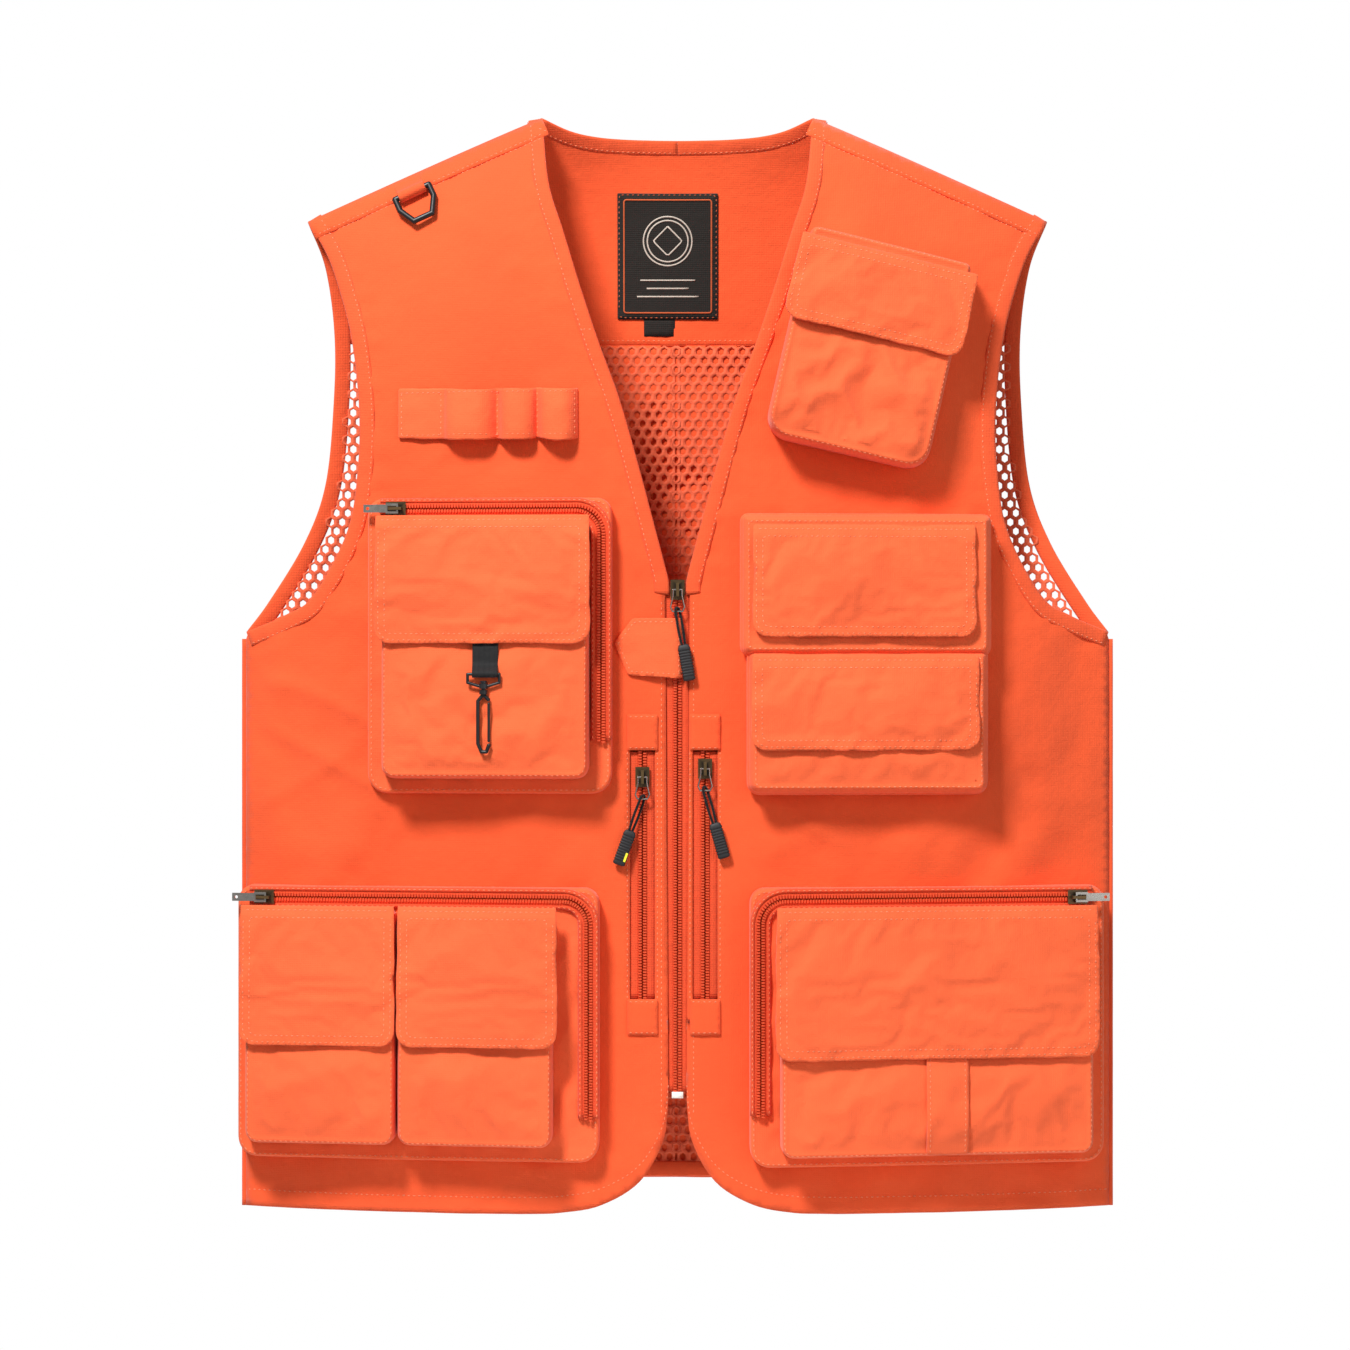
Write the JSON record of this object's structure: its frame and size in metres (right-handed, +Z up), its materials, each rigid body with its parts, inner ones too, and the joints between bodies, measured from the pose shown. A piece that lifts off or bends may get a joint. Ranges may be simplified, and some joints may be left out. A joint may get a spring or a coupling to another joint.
{
  "type": "multi-pocket utility vest",
  "caption": "Sleeveless orange utility vest with a front zip, mesh back lining, cargo and bellows pockets under hinged flaps, tool loops, D-ring and a swivelling snap hook.",
  "frame": {"origin": "middle of the back neckline on its top edge, where the vest hangs", "axes": "+Z up along the vest's length, the front faces -Y, +X towards the wearer's left"},
  "size_m": [0.5331, 0.1183, 0.662],
  "materials": {
    "shell_cloth": "plain-weave blaze orange polyester cotton",
    "lining_cloth": "plain-weave orange lining",
    "mesh_cloth": "orange warp-knit mesh with staggered oval holes",
    "binding_cloth": "orange binding tape, folded and topstitched",
    "webbing": "black ribbed webbing",
    "label_cloth": "black woven label with a plain orange border",
    "zip_tape": "orange zip tape with moulded coil rows",
    "slider_metal": "antique brass, tarnished",
    "black_plastic": "moulded black plastic",
    "grip_rubber": "ribbed black rubber",
    "pull_cord": "black braided cord"
  },
  "bodies": {
    "vest": {"left_front_panel": "shell_cloth", "right_front_panel": "shell_cloth", "front_linings": "mesh_cloth", "back_yoke": "shell_cloth", "back_shell": "shell_cloth", "back_mesh_lining": "mesh_cloth", "neck_binding": "binding_cloth", "armhole_bindings": "binding_cloth", "side_seam_tapes": "binding_cloth", "neck_labels": "label_cloth", "tool_loops": "shell_cloth", "ring_keeper": "shell_cloth", "main_zip": "zip_tape", "hand_zips": "zip_tape", "hand_zip_patches": "shell_cloth", "hand_pocket_bags": "lining_cloth", "chest_cargo_bag": "shell_cloth", "chest_front_pocket": "shell_cloth", "chest_cargo_zip": "zip_tape", "hook_strap": "webbing", "phone_pocket": "shell_cloth", "upper_bellows_pocket": "shell_cloth", "lower_bellows_pocket": "shell_cloth", "right_cargo_bag": "shell_cloth", "right_cargo_front_pockets": "shell_cloth", "right_cargo_zip": "zip_tape", "left_cargo_bag": "shell_cloth", "left_cargo_front_pocket": "shell_cloth", "left_cargo_strap": "shell_cloth", "left_cargo_zip": "zip_tape"},
    "chest_cargo_flap": {"chest_cargo_flap": "shell_cloth"},
    "phone_flap": {"phone_flap": "shell_cloth"},
    "upper_bellows_flap": {"upper_bellows_flap": "shell_cloth"},
    "lower_bellows_flap": {"lower_bellows_flap": "shell_cloth"},
    "right_cargo_outer_flap": {"right_cargo_outer_flap": "shell_cloth"},
    "right_cargo_inner_flap": {"right_cargo_inner_flap": "shell_cloth"},
    "left_cargo_flap": {"left_cargo_flap": "shell_cloth"},
    "zip_tab": {"zip_tab": "shell_cloth"},
    "d_ring": {"d_ring": "black_plastic"},
    "hook_eye": {"hook_eye": "black_plastic"},
    "snap_hook": {"snap_hook": "black_plastic"},
    "hook_gate": {"hook_gate": "black_plastic"},
    "main_slider": {"main_slider": "slider_metal"},
    "main_bail": {"main_bail": "slider_metal"},
    "main_grip": {"main_grip": "grip_rubber", "main_pull_cord": "pull_cord"},
    "right_hand_slider": {"right_hand_slider": "slider_metal"},
    "right_hand_bail": {"right_hand_bail": "slider_metal"},
    "right_hand_grip": {"right_hand_grip": "grip_rubber", "right_hand_pull_cord": "pull_cord"},
    "left_hand_slider": {"left_hand_slider": "slider_metal"},
    "left_hand_bail": {"left_hand_bail": "slider_metal"},
    "left_hand_grip": {"left_hand_grip": "grip_rubber", "left_hand_pull_cord": "pull_cord"},
    "chest_slider": {"chest_slider": "slider_metal"},
    "chest_pull": {"chest_pull": "slider_metal"},
    "right_cargo_slider": {"right_cargo_slider": "slider_metal"},
    "right_cargo_pull": {"right_cargo_pull": "slider_metal"},
    "left_cargo_slider": {"left_cargo_slider": "slider_metal"},
    "left_cargo_pull": {"left_cargo_pull": "slider_metal"}
  },
  "joints": [
    {"name": "chest_cargo_flap_hinge", "type": "hinge", "parent": "vest", "child": "chest_cargo_flap", "pos_m": [-0.11625, -0.08492, -0.2345], "axis": [-0.9938, 0.1111, 0], "range_deg": [0, 140]},
    {"name": "phone_flap_hinge", "type": "hinge", "parent": "vest", "child": "phone_flap", "pos_m": [0.12692, -0.07885, -0.07804], "axis": [-0.9644, -0.1427, 0.2227], "range_deg": [0, 140]},
    {"name": "upper_bellows_flap_hinge", "type": "hinge", "parent": "vest", "child": "upper_bellows_flap", "pos_m": [0.1115, -0.07984, -0.24], "axis": [-0.9945, -0.1046, 0], "range_deg": [0, 140]},
    {"name": "lower_bellows_flap_hinge", "type": "hinge", "parent": "vest", "child": "lower_bellows_flap", "pos_m": [0.11225, -0.08174, -0.318], "axis": [-0.9945, -0.1046, 0], "range_deg": [0, 140]},
    {"name": "right_cargo_outer_flap_hinge", "type": "hinge", "parent": "vest", "child": "right_cargo_outer_flap", "pos_m": [-0.2156, -0.06923, -0.4675], "axis": [-0.9862, 0.1655, 0], "range_deg": [0, 140]},
    {"name": "right_cargo_inner_flap_hinge", "type": "hinge", "parent": "vest", "child": "right_cargo_inner_flap", "pos_m": [-0.1194, -0.08538, -0.4675], "axis": [-0.9862, 0.1655, 0], "range_deg": [0, 140]},
    {"name": "left_cargo_flap_hinge", "type": "hinge", "parent": "vest", "child": "left_cargo_flap", "pos_m": [0.1555, -0.07908, -0.4675], "axis": [-0.9866, -0.1634, 0], "range_deg": [0, 140]},
    {"name": "zip_tab_hinge", "type": "hinge", "parent": "vest", "child": "zip_tab", "pos_m": [0.003, -0.06792, -0.312], "axis": [0, 0, 1], "range_deg": [0, 120]},
    {"name": "d_ring_hinge", "type": "hinge", "parent": "vest", "child": "d_ring", "pos_m": [-0.161, -0.03504, -0.03517], "axis": [-0.9084, 0, -0.4182], "range_deg": [0, 150]},
    {"name": "hook_eye_hinge", "type": "hinge", "parent": "vest", "child": "hook_eye", "pos_m": [-0.11487, -0.09344, -0.3275], "axis": [-0.9938, 0.1111, 0], "range_deg": [0, 150]},
    {"name": "snap_hook_swivel", "type": "hinge", "parent": "hook_eye", "child": "snap_hook", "pos_m": [-0.11487, -0.09344, -0.3345], "axis": [0, 0, -1], "continuous": true},
    {"name": "hook_gate_hinge", "type": "hinge", "parent": "snap_hook", "child": "hook_gate", "pos_m": [-0.11169, -0.0938, -0.345], "axis": [0.1111, 0.9938, 0], "range_deg": [0, 11], "stiffness_Nm_per_rad": 0.004, "springref_deg": -5.73},
    {"name": "main_zip_slide", "type": "slide", "parent": "vest", "child": "main_slider", "axis": [0, 0, -1], "range_m": [0, 0.293]},
    {"name": "main_bail_hinge", "type": "hinge", "parent": "main_slider", "child": "main_bail", "pos_m": [0, -0.07089, -0.277], "axis": [-1, 0, 0], "range_deg": [0, 150]},
    {"name": "main_grip_swing", "type": "hinge", "parent": "main_bail", "child": "main_grip", "pos_m": [0, -0.07089, -0.29], "axis": [0, -1, 0], "range_deg": [-15, 30]},
    {"name": "right_hand_zip_slide", "type": "slide", "parent": "vest", "child": "right_hand_slider", "axis": [0, 0, -1], "range_m": [0, 0.126]},
    {"name": "right_hand_bail_hinge", "type": "hinge", "parent": "right_hand_slider", "child": "right_hand_bail", "pos_m": [-0.021, -0.07086, -0.389], "axis": [-1, 0, 0], "range_deg": [0, 150]},
    {"name": "right_hand_grip_swing", "type": "hinge", "parent": "right_hand_bail", "child": "right_hand_grip", "pos_m": [-0.021, -0.07086, -0.402], "axis": [0, -1, 0], "range_deg": [-20, 50]},
    {"name": "left_hand_zip_slide", "type": "slide", "parent": "vest", "child": "left_hand_slider", "axis": [0, 0, -1], "range_m": [0, 0.131]},
    {"name": "left_hand_bail_hinge", "type": "hinge", "parent": "left_hand_slider", "child": "left_hand_bail", "pos_m": [0.0165, -0.07089, -0.384], "axis": [-1, 0, 0], "range_deg": [0, 150]},
    {"name": "left_hand_grip_swing", "type": "hinge", "parent": "left_hand_bail", "child": "left_hand_grip", "pos_m": [0.0165, -0.07089, -0.397], "axis": [0, -1, 0], "range_deg": [-50, 24]},
    {"name": "chest_zip_slide", "type": "slide", "parent": "vest", "child": "chest_slider", "axis": [0.9938, -0.1111, 0], "range_m": [0, 0.10213]},
    {"name": "chest_pull_hinge", "type": "hinge", "parent": "chest_slider", "child": "chest_pull", "pos_m": [-0.16741, -0.07039, -0.2285], "axis": [0, 0, 1], "range_deg": [0, 170]},
    {"name": "right_cargo_zip_slide", "type": "slide", "parent": "vest", "child": "right_cargo_slider", "axis": [0.9862, -0.1655, 0], "range_m": [0, 0.17643]},
    {"name": "right_cargo_pull_hinge", "type": "hinge", "parent": "right_cargo_slider", "child": "right_cargo_pull", "pos_m": [-0.24785, -0.05497, -0.4615], "axis": [0, 0, 1], "range_deg": [0, 170]},
    {"name": "left_cargo_zip_slide", "type": "slide", "parent": "vest", "child": "left_cargo_slider", "axis": [-0.9866, -0.1634, 0], "range_m": [0, 0.17181]},
    {"name": "left_cargo_pull_hinge", "type": "hinge", "parent": "left_cargo_slider", "child": "left_cargo_pull", "pos_m": [0.23983, -0.05627, -0.4615], "axis": [0, 0, -1], "range_deg": [0, 170]}
  ]
}
